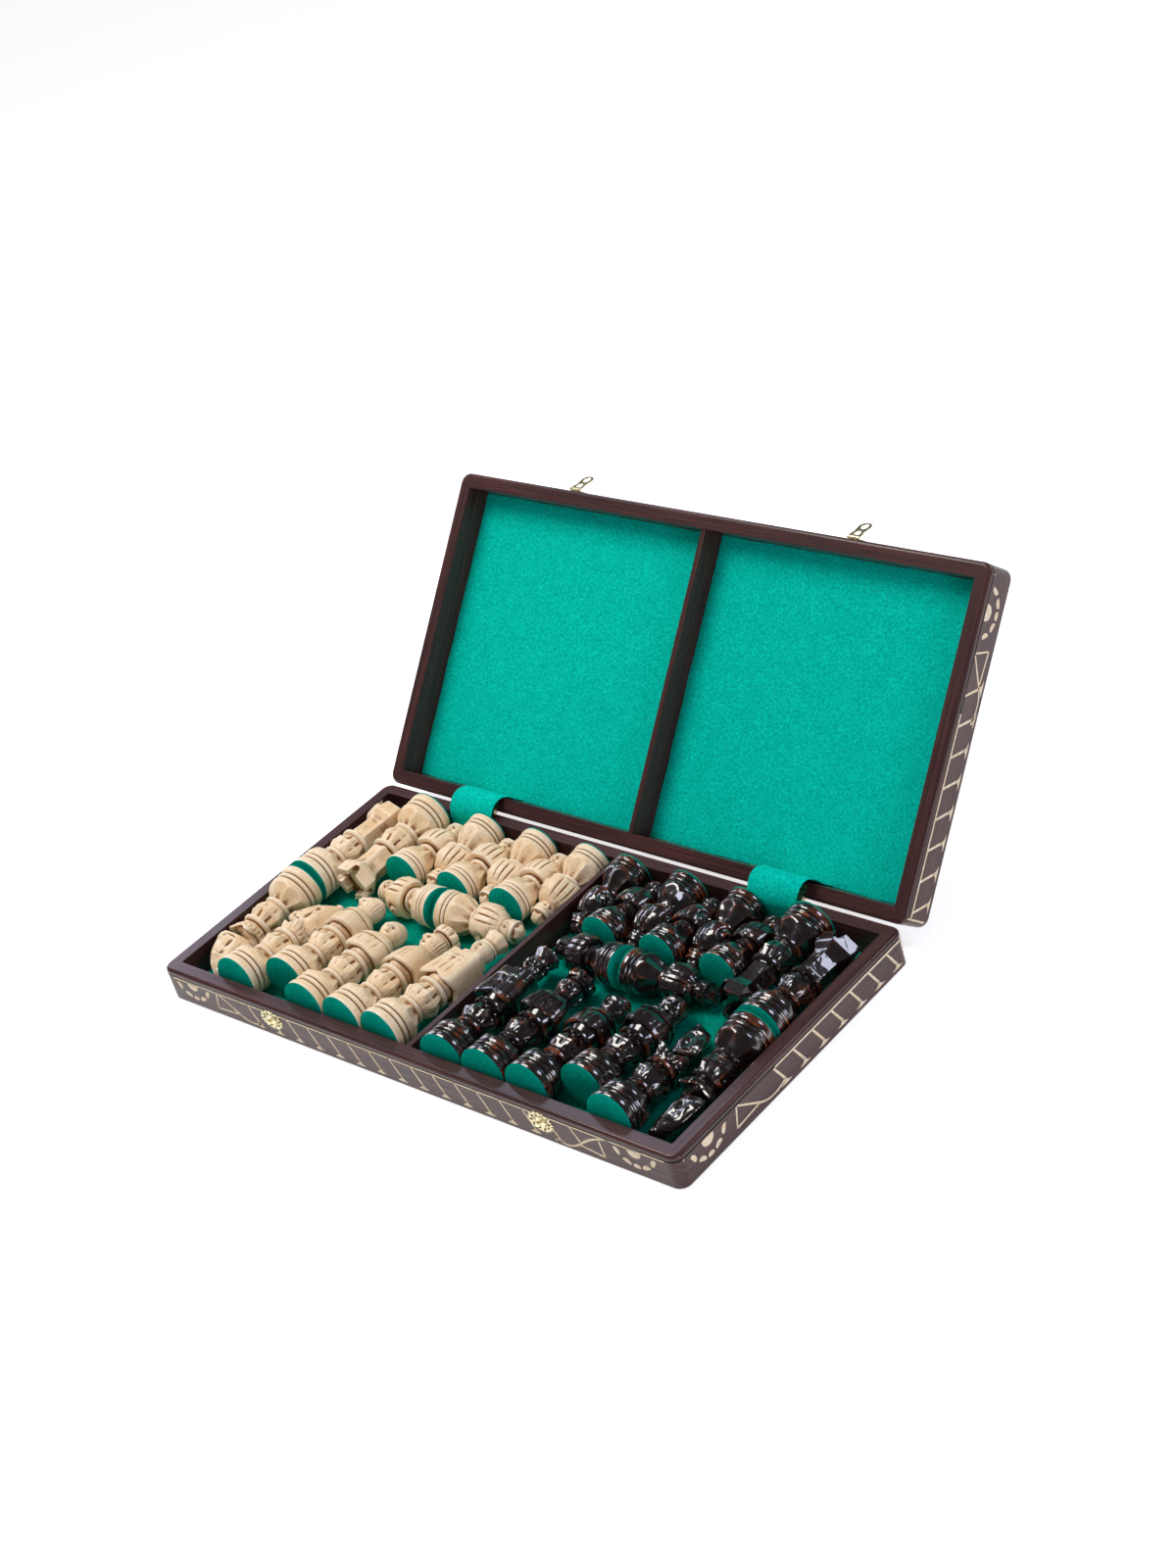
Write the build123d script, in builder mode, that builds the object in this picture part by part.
"""Chess box with a hinged lid, standing open with its carved chessmen lying inside.

Frame: millimetres, origin at the centre of the base tray's underside, +X to the right along
the front, +Y to the back, +Z up.  Base and lid are the same tray.  Each tray is drawn in a
frame of its own, with z = 0 at its playing-board face, its rim at z = tray_height and the
hinges on the +y side; the lid's frame is turned over and swung open about the hinge axis.
"""
import os
from math import atan, cos, radians, sin

from build123d import *

# ---------------------------------------------------------------- the two trays
box_length = 600.0          # along the front
box_depth = box_length / 2  # the open board is square
tray_height = 33.0          # one tray, board face to rim
wall = 13.6                 # wall thickness
corner_radius = 10.0        # rounded upright corners
rim_round = 3.2             # rounded outer edge of the rim
foot_chamfer = 1.0          # eased edge round the board face
quirk_drop = 5.6            # thin groove below the rim, measured to its middle
quirk_width = 1.0
quirk_depth = 0.9

panel_thickness = 6.5       # its underside is flush with the walls' feet
panel_rebate = 7.0          # how far the panel reaches under the walls
felt_thickness = 1.2
divider_thickness = 5.0
divider_drop = 1.5          # divider's top below the rim
divider_housing = 3.0       # how far its ends are let into the walls

# ---------------------------------------------------------------- hinges
open_angle = 131.5          # how far the lid stands open from closed
rim_gap = 0.8               # between the two rims when closed
hinge_offset = 0.6          # axis behind the back faces
hinge_x = 0.297 * box_length    # each hinge from the middle
leaf_length = 40.0
leaf_width = 11.5           # from the axis to the leaf's inner edge
leaf_thickness = 1.2
barrel_radius = 2.5
barrel_relief = 0.6         # room round the barrel in the walls
hinge_pin_radius = 1.2
running_clearance = 0.05    # pin in its knuckle
knuckle_gap = 0.3
screw_pitch = 26.0
screw_from_axis = 8.0
screw_head_radius = 2.2
screw_shank_radius = 1.1
screw_length = 11.0
hole_clearance = 0.1        # round screws and nails

cover_width = 52.0          # felt strip over each hinge
cover_thickness = 1.4
cover_clearance = 0.3
cover_down_wall = 17.0      # glued length down the base's back wall
cover_lands = 26.0          # where it meets the lid's felt, from the lid's back wall
cover_up_lid = 16.0         # glued length on the lid's felt
cover_bend = 5.0

# ---------------------------------------------------------------- hasps and keepers
hasp_x = 0.2635 * box_length    # each hasp from the middle
hasp_open = 138.5           # how far the loop stands open from latched
hasp_axis_out = 1.8         # pin in front of the wall face
hasp_axis_up = 2.5          # pin from the lid's rim
hasp_barrel_radius = 1.4
hasp_pin_radius = 0.6
hasp_plate_width = 18.0
hasp_plate_height = 12.0
hasp_plate_foot = 4.2       # lower edge of the plate from the rim
hasp_plate_thickness = 0.8
hasp_tongue_width = 7.0
hasp_ear_width = 2.4
loop_width = 12.4
loop_length = 23.0          # from the pin to the loop's end
loop_thickness = 0.9
loop_hole_width = 6.4
loop_hole_length = 11.0
keeper_drop = 13.6          # knob below the base's rim
keeper_plate_radius = 8.6
keeper_plate_thickness = 0.8
petals = 6
knob_radius = 2.4
knob_stem_radius = 1.7
knob_reach = 4.6            # how far the knob stands out of the wall
nail_radius = 0.7
nail_head_radius = 1.3
nail_head_height = 0.4
nail_length = 9.0
keeper_nail_x = 5.4
hasp_nail_x = 6.2

# ---------------------------------------------------------------- chessmen
board_border = 68.0         # plain edge round the squares
square = (box_length - 2 * board_border) / 8
foot_to_square = 0.776      # foot diameter of the tall men, in squares
pawn_to_square = 0.668      # foot diameter of a pawn
height_in_squares = {"king": 2.50, "queen": 2.37, "bishop": 2.09, "knight": 2.18, "rook": 1.93,
                     "pawn": 1.47}
waist_share = {"king": 0.50, "queen": 0.51, "bishop": 0.57, "knight": 0.56, "rook": 0.60}
foot_share = 0.24           # height of a tall man's foot, of his waist's
pawn_foot_share = 0.17      # height of a pawn's foot, of its own
# widest upper part, on which a man leans when he lies down: radius in feet, height in men
lean = {"king": (0.86, 0.65), "queen": (0.80, 0.66), "bishop": (0.78, 0.70), "knight": (0.72, 0.65),
        "rook": (0.84, 1.00), "pawn": (0.76, 0.63)}
pad_thickness = 1.0         # felt disc under each foot
pad_inset = 1.0             # disc smaller than the foot all round
rest_clearance = 0.3        # man above the felt that it lies on

# ---------------------------------------------------------------- what follows from these
inner_length = box_length - 2 * wall
inner_depth = box_depth - 2 * wall
floor_z = panel_thickness                        # where the felt is laid
felt_top = floor_z + felt_thickness
closed_height = 2 * tray_height + rim_gap
hinge_y = box_depth / 2 + hinge_offset
hinge_z = tray_height + rim_gap / 2
compartment = (inner_length - divider_thickness) / 2
swing = radians(open_angle)


def swung(y, z):
    """Where a point of the closed lid stands when the lid is open, as (y, z)."""
    back, up = y - hinge_y, z - hinge_z
    return hinge_y + back * cos(swing) + up * sin(swing), hinge_z - back * sin(swing) + up * cos(swing)


lid_middle = swung(0, closed_height)
base_frame = Plane.XY
lid_frame = Plane(origin=(0, *lid_middle), x_dir=(-1, 0, 0), z_dir=(0, -sin(swing), -cos(swing)))

os.makedirs("parts", exist_ok=True)


def write(piece, name):
    """Label a finished piece and write it under its own name."""
    piece.part.label = name
    export_step(piece.part, f"parts/{name}.step")


def placed(local_piece, frame):
    """A piece drawn in a tray's frame, set where that tray stands."""
    with BuildPart() as piece:
        with Locations(frame):
            add(local_piece)
    return piece


# ================================================================ tray woodwork
with BuildPart() as tray_ring:
    with BuildSketch():
        RectangleRounded(box_length, box_depth, corner_radius)
    extrude(amount=tray_height)
    fillet(tray_ring.faces().sort_by(Axis.Z)[-1].edges(), rim_round)
    chamfer(tray_ring.faces().sort_by(Axis.Z)[0].edges(), foot_chamfer)
    with BuildSketch():
        Rectangle(inner_length, inner_depth)
    extrude(amount=tray_height, mode=Mode.SUBTRACT)
    with BuildSketch():
        Rectangle(inner_length + 2 * panel_rebate, inner_depth + 2 * panel_rebate)
    extrude(amount=floor_z, mode=Mode.SUBTRACT)
    with BuildSketch(Plane.XY.offset(tray_height - quirk_drop - quirk_width / 2)):
        RectangleRounded(box_length, box_depth, corner_radius)
        RectangleRounded(
            box_length - 2 * quirk_depth, box_depth - 2 * quirk_depth, corner_radius - quirk_depth,
            mode=Mode.SUBTRACT,
        )
    extrude(amount=quirk_width, mode=Mode.SUBTRACT)
    # housings for the divider's ends
    with BuildSketch(Plane.XY.offset(floor_z)):
        Rectangle(divider_thickness, inner_depth + 2 * divider_housing)
    extrude(amount=tray_height - divider_drop - floor_z, mode=Mode.SUBTRACT)


def mitred_wall(side):
    """One wall of the ring, cut free along the mitres.  side: front, back, left or right."""
    half_x, half_y, reach = box_length / 2, box_depth / 2, wall
    along_front = [(-half_x, -half_y), (half_x, -half_y), (half_x - reach, -half_y + reach),
                   (-half_x + reach, -half_y + reach)]
    along_left = [(-half_x, half_y), (-half_x, -half_y), (-half_x + reach, -half_y + reach),
                  (-half_x + reach, half_y - reach)]
    corners = along_front if side in ("front", "back") else along_left
    turned = 180 if side in ("back", "right") else 0
    with BuildPart() as piece:
        add(tray_ring.part)
        with BuildSketch() as outline:
            Polygon(*corners, align=None)
        with Locations(Plane.XY.rotated((0, 0, turned))):
            add(extrude(outline.sketch, amount=tray_height, mode=Mode.PRIVATE), mode=Mode.INTERSECT)
    return piece


walls = {side: mitred_wall(side) for side in ("front", "back", "left", "right")}

# the back wall takes the hinge leaves and clears the barrels
barrel_axis = Plane(origin=(0, hinge_y, hinge_z), x_dir=(0, 1, 0), z_dir=(1, 0, 0))
leaf_inner_y = hinge_y - leaf_width
screw_y = hinge_y - screw_from_axis
screw_spots = [(x + dx, screw_y) for x in (-hinge_x, hinge_x) for dx in (-screw_pitch / 2, screw_pitch / 2)]
with BuildPart() as back_wall:
    add(walls["back"].part)
    for x in (-hinge_x, hinge_x):
        with BuildSketch(barrel_axis.offset(x - leaf_length / 2 - knuckle_gap)):
            Circle(barrel_radius + barrel_relief)
        extrude(amount=leaf_length + 2 * knuckle_gap, mode=Mode.SUBTRACT)
        with BuildSketch(Plane.XY.offset(tray_height - leaf_thickness)):
            with Locations((x, leaf_inner_y)):
                Rectangle(leaf_length, leaf_width, align=(Align.CENTER, Align.MIN))
        extrude(amount=leaf_thickness, mode=Mode.SUBTRACT)
    with BuildSketch(Plane.XY.offset(tray_height)):
        with Locations(*screw_spots):
            Circle(screw_shank_radius + hole_clearance)
    extrude(amount=-screw_length - hole_clearance, mode=Mode.SUBTRACT)

# nails go through the front walls' faces: two to each hasp plate, two to each keeper
front_face = Plane(origin=(0, -box_depth / 2, 0), x_dir=(1, 0, 0), z_dir=(0, -1, 0))
keeper_z = tray_height - keeper_drop
hasp_axis_z = tray_height - hasp_axis_up
plate_top_z = tray_height - hasp_plate_foot - hasp_plate_height
hasp_nail_z = plate_top_z + hasp_plate_height / 2
keeper_nails = [(s * hasp_x + dx, keeper_z) for s in (-1, 1) for dx in (-keeper_nail_x, keeper_nail_x)]
hasp_nails = [(s * hasp_x + dx, hasp_nail_z) for s in (-1, 1) for dx in (-hasp_nail_x, hasp_nail_x)]


def nailed_front(spots):
    """The front wall with a hole for each nail."""
    with BuildPart() as piece:
        add(walls["front"].part)
        with BuildSketch(front_face):
            with Locations(*spots):
                Circle(nail_radius + hole_clearance)
        extrude(amount=-nail_length - hole_clearance, mode=Mode.SUBTRACT)
    return piece


with BuildPart() as panel:
    with BuildSketch():
        Rectangle(inner_length + 2 * panel_rebate, inner_depth + 2 * panel_rebate)
    extrude(amount=panel_thickness)

with BuildPart() as divider:
    with BuildSketch(Plane.XY.offset(floor_z)):
        Rectangle(divider_thickness, inner_depth + 2 * divider_housing)
    extrude(amount=tray_height - divider_drop - floor_z)

with BuildPart() as floor_felts:
    with BuildSketch(Plane.XY.offset(floor_z)):
        with Locations(*[(s * (divider_thickness + compartment) / 2, 0) for s in (-1, 1)]):
            Rectangle(compartment, inner_depth)
    extrude(amount=felt_thickness)

base_walls = {"front": nailed_front(keeper_nails), "back": back_wall, "left": walls["left"],
              "right": walls["right"]}
lid_walls = {"front": nailed_front(hasp_nails), "back": back_wall, "left": walls["right"],
             "right": walls["left"]}    # the lid's frame is turned over, so its sides change places
for tray_name, frame, tray_walls in (("base", base_frame, base_walls), ("lid", lid_frame, lid_walls)):
    for side, piece in tray_walls.items():
        write(placed(piece.part, frame), f"{tray_name}_{side}_wall")
    write(placed(panel.part, frame), f"{tray_name}_panel")
    write(placed(divider.part, frame), f"{tray_name}_divider")
    write(placed(floor_felts.part, frame), f"{tray_name}_felts")

# ================================================================ hinges
knuckle = leaf_length / 3
middle_knuckle = [(0, knuckle - 2 * knuckle_gap)]
outer_knuckles = [(s * knuckle, knuckle) for s in (-1, 1)]


def hinge_leaves(own_knuckles, other_knuckles):
    """Both leaves of one tray, with their knuckles round the axis, as (middle x, length) lists."""
    with BuildPart() as leaves:
        for x in (-hinge_x, hinge_x):
            with BuildSketch(Plane.XY.offset(tray_height - leaf_thickness)):
                with Locations((x, leaf_inner_y)):
                    Rectangle(leaf_length, leaf_width, align=(Align.CENTER, Align.MIN))
                for middle, length in other_knuckles:
                    with Locations((x + middle, hinge_y)):
                        Rectangle(
                            length + 2 * knuckle_gap, 2 * (barrel_radius + barrel_relief),
                            mode=Mode.SUBTRACT,
                        )
            extrude(amount=leaf_thickness)
            for middle, length in own_knuckles:
                with BuildSketch(barrel_axis.offset(x + middle - length / 2)):
                    Circle(barrel_radius)
                extrude(amount=length)
            with BuildSketch(barrel_axis.offset(x - leaf_length / 2)):
                Circle(hinge_pin_radius + running_clearance)
            extrude(amount=leaf_length, mode=Mode.SUBTRACT)
        with Locations(*[(x, y, tray_height) for x, y in screw_spots]):
            CounterSinkHole(
                screw_shank_radius + hole_clearance, screw_head_radius + hole_clearance,
                depth=leaf_thickness,
            )
    return leaves


base_leaves = hinge_leaves(outer_knuckles, middle_knuckle)
lid_leaves = hinge_leaves(middle_knuckle, outer_knuckles)
write(placed(base_leaves.part, base_frame), "hinge_base_leaves")
write(placed(lid_leaves.part, lid_frame), "hinge_lid_leaves")

with BuildPart() as hinge_pins:
    for x in (-hinge_x, hinge_x):
        with BuildSketch(barrel_axis.offset(x - leaf_length / 2)):
            Circle(hinge_pin_radius)
        extrude(amount=leaf_length)
write(hinge_pins, "hinge_pins")


def fixings(nail_spots, plate_thickness):
    """Four hinge screws and the nails through this tray's front plates."""
    with BuildPart() as set_of_fixings:
        sink = screw_head_radius - screw_shank_radius    # 90 degree countersink
        for x, y in screw_spots:
            with BuildSketch(Plane.XZ.offset(-y)):
                with Locations((x, tray_height)):
                    Polygon(
                        (0, 0), (screw_head_radius, 0), (screw_shank_radius, -sink),
                        (screw_shank_radius, -screw_length), (0, -screw_length), align=None,
                    )
            revolve(axis=Axis((x, y, 0), (0, 0, 1)))
        face = front_face.offset(plate_thickness)
        with BuildSketch(face):
            with Locations(*nail_spots):
                Circle(nail_head_radius)
        extrude(amount=nail_head_height, taper=20)
        with BuildSketch(face):
            with Locations(*nail_spots):
                Circle(nail_radius)
        extrude(amount=-nail_length)
    return set_of_fixings


write(placed(fixings(keeper_nails, keeper_plate_thickness).part, base_frame), "base_screws_and_nails")
write(placed(fixings(hasp_nails, hasp_plate_thickness).part, lid_frame), "lid_screws_and_nails")

# felt strip over each hinge: down the base's wall, across to the lid's felt, and up it
felt_off = cover_clearance + cover_thickness / 2
inner_y = inner_depth / 2
lid_lip = swung(inner_y, tray_height + rim_gap)
lid_ceiling = closed_height - felt_top - felt_off
cover_route = [
    (inner_y - felt_off, tray_height - cover_down_wall),
    (inner_y - felt_off, tray_height + felt_off),
    (lid_lip[0] - felt_off * sin(radians(open_angle / 4)), lid_lip[1] + 1.6 * felt_off),
    swung(inner_y - cover_lands, lid_ceiling),
    swung(inner_y - cover_lands - cover_up_lid, lid_ceiling),
]
for side, x in (("left", -hinge_x), ("right", hinge_x)):
    with BuildPart() as cover:
        with BuildSketch(Plane.YZ.offset(x - cover_width / 2)) as strip:
            with BuildLine():
                FilletPolyline(*cover_route, radius=[cover_bend / 2, cover_bend, cover_bend])
            trace(line_width=cover_thickness)
        extrude(amount=cover_width)
    write(cover, f"hinge_cover_{side}")

# ================================================================ hasps on the lid, keepers on the base
hasp_axis_plane = Plane(
    origin=(0, -box_depth / 2 - hasp_axis_out, hasp_axis_z), x_dir=(0, 1, 0), z_dir=(1, 0, 0)
)
hasp_reach = hasp_tongue_width / 2 + knuckle_gap + hasp_ear_width

with BuildPart() as hasp_plates:
    for x in (-hasp_x, hasp_x):
        with BuildSketch(front_face):
            with Locations((x, plate_top_z)):
                RectangleRounded(
                    hasp_plate_width, hasp_plate_height, 2.5, align=(Align.CENTER, Align.MIN)
                )
            with Locations((x, hasp_axis_z)):
                Rectangle(
                    hasp_tongue_width, hasp_axis_z - plate_top_z, align=(Align.CENTER, Align.MAX)
                )
        extrude(amount=hasp_plate_thickness)
        with BuildSketch(hasp_axis_plane.offset(x - hasp_tongue_width / 2)):
            Circle(hasp_barrel_radius)
            Circle(hasp_pin_radius + running_clearance, mode=Mode.SUBTRACT)
        extrude(amount=hasp_tongue_width)
    with BuildSketch(front_face):
        with Locations(*hasp_nails):
            Circle(nail_radius + hole_clearance)
    extrude(amount=hasp_plate_thickness, mode=Mode.SUBTRACT)
write(placed(hasp_plates.part, lid_frame), "hasp_plates")

with BuildPart() as hasp_pins:
    for x in (-hasp_x, hasp_x):
        with BuildSketch(hasp_axis_plane.offset(x - hasp_reach)):
            Circle(hasp_pin_radius)
        extrude(amount=2 * hasp_reach)
write(placed(hasp_pins.part, lid_frame), "hasp_pins")

# the loop, drawn latched with +y pointing from its pin to its end, z out of the wall
with BuildPart() as loop:
    with BuildSketch(Plane.XY.offset(-loop_thickness / 2)):
        with Locations((0, loop_length - loop_width / 2)):
            Circle(loop_width / 2)
        with Locations((0, hasp_barrel_radius + knuckle_gap)):
            Rectangle(
                loop_width, loop_length - loop_width / 2 - hasp_barrel_radius - knuckle_gap,
                align=(Align.CENTER, Align.MIN),
            )
        for s in (-1, 1):
            with Locations((s * (hasp_reach - hasp_ear_width / 2), 0)):
                Rectangle(hasp_ear_width, loop_length / 2, align=(Align.CENTER, Align.MIN))
        with Locations((0, hasp_axis_up + rim_gap + keeper_drop)):
            SlotOverall(loop_hole_length, loop_hole_width, rotation=90, mode=Mode.SUBTRACT)
    extrude(amount=loop_thickness)
    for s in (-1, 1):
        with BuildSketch(Plane.YZ.offset(s * (hasp_reach - hasp_ear_width / 2) - hasp_ear_width / 2)):
            Circle(hasp_barrel_radius)
        extrude(amount=hasp_ear_width)
    with BuildSketch(Plane.YZ.offset(-hasp_reach)):
        Circle(hasp_pin_radius + running_clearance)
    extrude(amount=2 * hasp_reach, mode=Mode.SUBTRACT)

loop_turn = swing + radians(hasp_open)
loop_pin = swung(-box_depth / 2 - hasp_axis_out, closed_height - hasp_axis_z)
for side, x in (("left", -hasp_x), ("right", hasp_x)):
    loop_frame = Plane(
        origin=(x, *loop_pin), x_dir=(-1, 0, 0), z_dir=(0, -cos(loop_turn), sin(loop_turn))
    )
    write(placed(loop.part, loop_frame), f"hasp_{side}")

with BuildPart() as keepers:
    for x in (-hasp_x, hasp_x):
        with BuildSketch(front_face):
            with Locations((x, keeper_z)):
                Circle(keeper_plate_radius * 0.62)
                with PolarLocations(keeper_plate_radius * 0.62, petals):
                    Circle(keeper_plate_radius * 0.38)
        extrude(amount=keeper_plate_thickness)
        with BuildSketch(front_face.offset(keeper_plate_thickness)):
            with Locations((x, keeper_z)):
                Circle(knob_stem_radius)
        extrude(amount=knob_reach / 2 - keeper_plate_thickness)
        with BuildSketch(front_face.offset(knob_reach / 2)):
            with Locations((x, keeper_z)):
                Circle(knob_radius)
        extrude(amount=knob_reach / 2)
    fillet(keepers.faces().sort_by(Axis.Y)[0:2].edges(), knob_radius * 0.4)
    with BuildSketch(front_face):
        with Locations(*keeper_nails):
            Circle(nail_radius + hole_clearance)
    extrude(amount=keeper_plate_thickness, mode=Mode.SUBTRACT)
write(keepers, "keepers")

# ================================================================ chessmen
tall_foot = foot_to_square * square / 2
pawn_foot = pawn_to_square * square / 2


def turned(profile):
    """Turn a closed profile of (radius, height) points about the man's own axis."""
    with BuildSketch(Plane.XZ) as outline:
        Polygon(*profile, align=None)
    revolve(outline.sketch, axis=Axis.Z)


def foot(radius, height):
    """The turned foot: three rings parted by two grooves."""
    ease, cut, land = 0.06 * radius, 0.09 * radius, height / 3
    turned([
        (0, 0), (radius - ease, 0), (radius, ease), (radius, land - cut / 2), (radius - cut, land),
        (radius - ease, land + cut / 2), (radius - ease, 2 * land - cut / 2), (radius - 2 * cut, 2 * land),
        (radius - 1.5 * cut, 2 * land + cut / 2), (radius - 2 * cut, height), (0, height),
    ])


def collar(radius, low, high):
    """A thin turned ring."""
    ease = (high - low) / 3
    turned([(0, low), (radius - ease, low), (radius, low + ease), (radius, high - ease),
            (radius - ease, high), (0, high)])


def carved(sides, *levels):
    """A many-sided body through levels of (radius across corners, height)."""
    for (low_radius, low), (high_radius, high) in zip(levels, levels[1:]):
        with BuildSketch(Plane.XY.offset(low)) as lower:
            RegularPolygon(low_radius, sides, rotation=180 / sides)
        with BuildSketch(Plane.XY.offset(high)) as upper:
            RegularPolygon(high_radius, sides, rotation=180 / sides)
        loft([lower.sketch, upper.sketch], ruled=True)


def tall_body(top):
    """Foot, bell, collars and bulb that every tall man shares, up to the second collar's top."""
    r, h = tall_foot, top
    foot(r, foot_share * h)
    carved(8, (0.86 * r, foot_share * h), (0.70 * r, 0.40 * h), (0.46 * r, 0.58 * h))
    collar(0.58 * r, 0.58 * h, 0.63 * h)
    carved(8, (0.44 * r, 0.63 * h), (0.66 * r, 0.78 * h), (0.46 * r, 0.94 * h))
    collar(0.64 * r, 0.94 * h, h)


def round_head(radius, middle):
    """A head, or the ball on a crown."""
    with Locations((0, 0, middle)):
        Sphere(radius)


def caped_man(kind, height, torso, head, hat):
    """King, queen and bishop: cape, torso, head and hat above the shared body.

    Heights are shares of the man's height; torso and head are shares of the foot's radius.
    """
    r, waist, cape = tall_foot, waist_share[kind], lean[kind][0]
    tall_body(waist * height)
    top = 1 - waist
    carved(8, (0.52 * r, waist * height), (cape * r, (waist + 0.13 * top) * height),
           (cape * r, (waist + 0.30 * top) * height), (torso * r, (waist + 0.44 * top) * height),
           (0.9 * torso * r, (waist + 0.62 * top) * height))
    collar(0.8 * torso * r, (waist + 0.62 * top) * height, (waist + 0.66 * top) * height)
    round_head(head * r, (waist + 0.75 * top) * height)
    sides, hat_foot, hat_top, hat_share = hat
    carved(sides, (hat_foot * r, (waist + 0.80 * top) * height), (hat_top * r, hat_share * height))


def carve_king(height):
    caped_man("king", height, torso=0.54, head=0.38, hat=(8, 0.36, 0.44, 0.965))
    round_head(0.16 * tall_foot, height - 0.16 * tall_foot)


def carve_queen(height):
    caped_man("queen", height, torso=0.50, head=0.36, hat=(6, 0.32, 0.40, 0.965))
    round_head(0.15 * tall_foot, height - 0.15 * tall_foot)


def carve_bishop(height):
    caped_man("bishop", height, torso=0.50, head=0.35, hat=(4, 0.38, 0.12, 1.0))


def carve_rook(height):
    waist = waist_share["rook"] * height
    r, crown = tall_foot, lean["rook"][0] * tall_foot
    tall_body(waist)
    carved(6, (0.62 * r, waist), (0.54 * r, 0.84 * height), (crown, 0.91 * height), (crown, height))
    slot_depth, slot_width = 0.09 * height, 0.34 * r
    with Locations((0, 0, height - slot_depth / 2)):
        Box(2 * r, slot_width, slot_depth, mode=Mode.SUBTRACT)
        Box(slot_width, 2 * r, slot_depth, mode=Mode.SUBTRACT)


def carve_knight(height):
    waist = waist_share["knight"] * height
    r, chest = tall_foot, lean["knight"][0] * tall_foot
    tall_body(waist)
    carved(8, (0.52 * r, waist), (chest, 0.60 * height), (chest, 0.65 * height), (0.52 * r, 0.70 * height))
    # the horse's head in side view: chest, throat, jaw, muzzle, brow, ear, crest of the mane
    side_view = [(0.46, 0.66), (0.26, 0.74), (0.52, 0.735), (0.90, 0.77), (0.94, 0.84), (0.44, 0.95),
                 (0.20, 1.00), (0.04, 0.97), (-0.44, 0.90), (-0.60, 0.78), (-0.52, 0.66)]
    head_thickness = 0.58 * r
    with BuildSketch(Plane.XZ) as head:
        Polygon(*[(out * r, up * height) for out, up in side_view], align=None)
    extrude(head.sketch, amount=head_thickness / 2, both=True)


def carve_pawn(height):
    r, chest = pawn_foot, lean["pawn"][0] * pawn_foot
    foot(r, pawn_foot_share * height)
    carved(8, (0.86 * r, pawn_foot_share * height), (0.64 * r, 0.29 * height), (0.46 * r, 0.40 * height))
    collar(0.56 * r, 0.40 * height, 0.44 * height)
    carved(8, (0.44 * r, 0.44 * height), (chest, 0.53 * height), (chest, 0.63 * height),
           (0.38 * r, 0.73 * height))
    collar(0.32 * r, 0.73 * height, 0.77 * height)
    round_head(0.42 * r, 0.84 * height)
    carved(6, (0.46 * r, 0.87 * height), (0.14 * r, height))


carvers = {"king": carve_king, "queen": carve_queen, "bishop": carve_bishop, "knight": carve_knight,
           "rook": carve_rook, "pawn": carve_pawn}
men = {}
for kind, carve in carvers.items():
    with BuildPart() as standing:
        carve(height_in_squares[kind] * square)
    men[kind] = standing.part

# How the pale set lies in the left compartment.  Each man: kind, where its foot is (the share of
# the compartment's width from the divider, the share of its depth from the front wall), the way
# it points (degrees from +X, seen from above) and how far it is rolled about its own length.
pale_layout = {
    "king": ("king", 0.120, 0.014, 87, 0),
    "queen": ("queen", 0.284, 0.014, 88, 20),
    "bishop_1": ("bishop", 0.452, 0.016, 90, -15),
    "bishop_2": ("bishop", 0.606, 0.086, 91, 30),
    "knight_1": ("knight", 0.762, 0.016, 90, 65),
    "knight_2": ("knight", 0.916, 0.489, -90, -60),
    "rook_1": ("rook", 0.916, 0.511, 90, 10),
    "rook_2": ("rook", 0.774, 0.974, -90, 25),
    "pawn_1": ("pawn", 0.387, 0.582, 175, 10),
    "pawn_2": ("pawn", 0.359, 0.582, 5, -20),
    "pawn_3": ("pawn", 0.642, 0.674, 91, 0),
    "pawn_4": ("pawn", 0.528, 0.984, -90, 30),
    "pawn_5": ("pawn", 0.413, 0.674, 90, -25),
    "pawn_6": ("pawn", 0.299, 0.984, -89, 15),
    "pawn_7": ("pawn", 0.185, 0.674, 91, 0),
    "pawn_8": ("pawn", 0.072, 0.984, -90, 40),
}
def lying(kind, across, along, heading, roll, side):
    """The frame of a man on the felt: z from foot to head, x out of its face.  side: -1 or 1."""
    height = height_in_squares[kind] * square
    foot_radius = pawn_foot if kind == "pawn" else tall_foot
    foot_height = (pawn_foot_share if kind == "pawn" else foot_share * waist_share[kind]) * height
    ring_top = foot_height / 3
    lean_radius, lean_height = lean[kind][0] * foot_radius, lean[kind][1] * height
    dip = atan((foot_radius - lean_radius) / (lean_height - ring_top))
    x = -(divider_thickness / 2 + across * compartment)
    y = -inner_depth / 2 + along * inner_depth
    z = felt_top + rest_clearance + foot_radius * cos(dip) + ring_top * sin(dip)
    turn, rolled = radians(heading), radians(roll)
    length_way = (cos(turn) * cos(dip), sin(turn) * cos(dip), -sin(dip))
    lifted = (cos(turn) * sin(dip), sin(turn) * sin(dip), cos(dip))
    sideways = (-sin(turn), cos(turn), 0)
    face_way = tuple(u * cos(rolled) + v * sin(rolled) for u, v in zip(lifted, sideways))
    return Plane(
        origin=(-side * x, y, z), x_dir=(-side * face_way[0], *face_way[1:]),
        z_dir=(-side * length_way[0], *length_way[1:]),
    )


with BuildPart() as pads:
    for side, colour in ((-1, "light"), (1, "dark")):
        for name, (kind, across, along, heading, roll) in pale_layout.items():
            frame = lying(kind, across, along, heading, roll, side)
            write(placed(men[kind], frame), f"{colour}_{name}")
            foot_radius = pawn_foot if kind == "pawn" else tall_foot
            with Locations(frame):
                Cylinder(
                    foot_radius - pad_inset, pad_thickness,
                    align=(Align.CENTER, Align.CENTER, Align.MAX),
                )
write(pads, "chessman_felt_pads")
